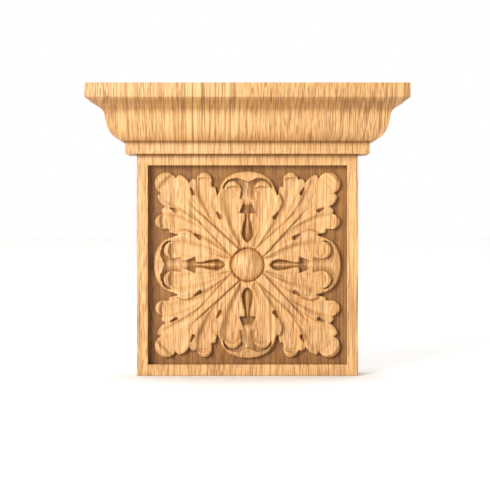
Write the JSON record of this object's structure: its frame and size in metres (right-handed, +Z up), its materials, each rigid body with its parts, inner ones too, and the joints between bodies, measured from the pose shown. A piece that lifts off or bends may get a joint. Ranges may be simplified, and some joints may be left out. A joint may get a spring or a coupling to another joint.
{
  "type": "carved wooden pilaster capital",
  "caption": "Oak pilaster capital: square block with a sunk panel holding a carved acanthus rosette, under a moulded cornice that returns along both sides to a flat back.",
  "frame": {"origin": "centre of the flat underside, which sits on the top of a pilaster", "axes": "+Z up, the carved front faces -Y, the flat back faces +Y, +X to the right when seen from the front"},
  "size_m": [0.16, 0.0445, 0.146],
  "materials": {
    "oak": "light oak, carved and sanded, thin satin oil"
  },
  "bodies": {
    "root": {"capital": "oak"}
  },
  "joints": []
}
